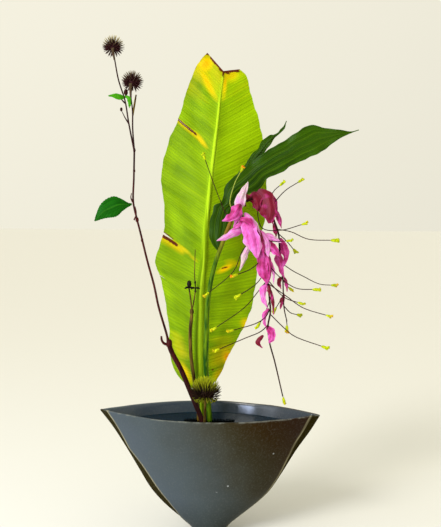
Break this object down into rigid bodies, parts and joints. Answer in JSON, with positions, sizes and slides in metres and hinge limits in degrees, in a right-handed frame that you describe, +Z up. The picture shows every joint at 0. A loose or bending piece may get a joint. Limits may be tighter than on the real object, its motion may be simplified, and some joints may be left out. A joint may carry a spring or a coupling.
{
  "type": "ikebana arrangement",
  "caption": "Ikebana arrangement: a tall banana leaf, ginger with hanging flower sprays and teasel stems standing in a boat-shaped stoneware vase of water.",
  "frame": {"origin": "middle of the vase's flat foot, on the surface it stands on", "axes": "+Z up, +X along the vase's long axis to the right as seen from the display side, -Y towards the viewer"},
  "size_m": [0.3506, 0.1314, 0.6709],
  "materials": {
    "stoneware": "dark grey satin glaze with small specks, lighter on worn edges",
    "water": "clear still water over a dark basin",
    "lead": "dull dark metal base and pins",
    "banana_leaf": "waxy yellow-green leaf with a pale midrib",
    "ginger_green": "glossy dark green leaf and stem",
    "wine_bract": "soft wine-red petal",
    "orchid_bract": "soft orchid-pink petal",
    "maroon_stem": "dark maroon bark with knots",
    "fresh_leaf": "bright green toothed leaf",
    "seed_head": "dry dark brown spines",
    "low_head": "yellow-green spines over a brown cup",
    "olive_stem": "olive-brown stem"
  },
  "bodies": {
    "root": {"vase": "stoneware", "water": "water", "kenzan": "lead", "banana_leaf": "banana_leaf", "ginger_shoot": "ginger_green", "ginger_spray_wine": "wine_bract", "ginger_spray_orchid": "orchid_bract", "teasel_stem": "maroon_stem", "teasel_leaf_large": "fresh_leaf", "teasel_leaf_small": "fresh_leaf", "teasel_leaf_hanging": "fresh_leaf", "teasel_head_left": "seed_head", "teasel_head_right": "seed_head", "teasel_branch_short": "olive_stem", "low_head": "low_head", "low_head_stem": "olive_stem"}
  },
  "joints": []
}
